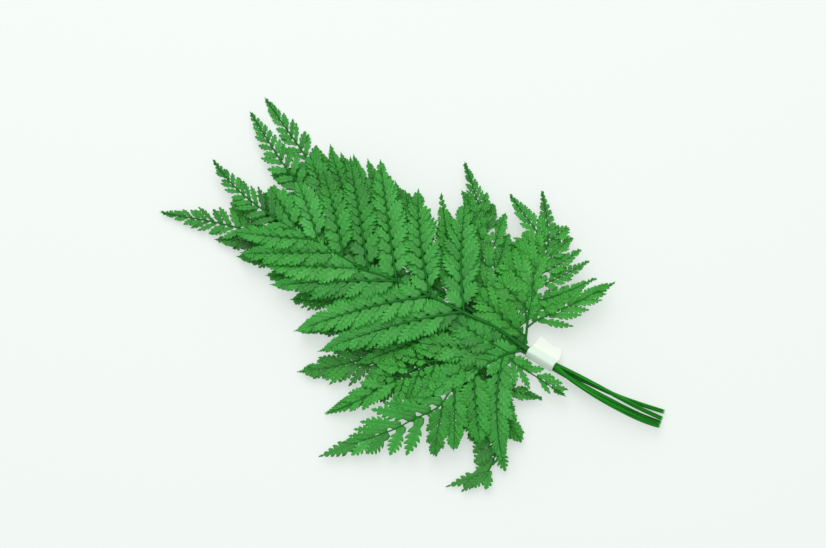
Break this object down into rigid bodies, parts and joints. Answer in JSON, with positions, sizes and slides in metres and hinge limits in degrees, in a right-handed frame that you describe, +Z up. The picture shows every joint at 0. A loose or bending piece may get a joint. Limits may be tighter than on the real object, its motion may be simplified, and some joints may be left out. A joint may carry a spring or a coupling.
{
  "type": "preserved fern bundle",
  "caption": "Flat bundle of preserved leathery fern fronds, stacked and bound at the cut stems with white paper tape.",
  "frame": {"origin": "middle of the bundle's outline in plan, on the surface it lies on", "axes": "+X along the bundle toward the cut stem ends, +Y to the side where the tape's flag stands out, +Z up"},
  "size_m": [0.3341, 0.214, 0.0159],
  "materials": {
    "leaf_top": "leathery satin green leaf with fine veins",
    "leaf_second": "leathery satin green leaf with fine veins",
    "leaf_third": "leathery satin green leaf, slightly olive",
    "leaf_lowest": "leathery satin green leaf, slightly lighter",
    "tape": "matte white paper tape"
  },
  "bodies": {
    "root": {"frond_1": "leaf_top", "frond_2": "leaf_second", "frond_3": "leaf_third", "frond_4": "leaf_lowest", "tape": "tape"}
  },
  "joints": []
}
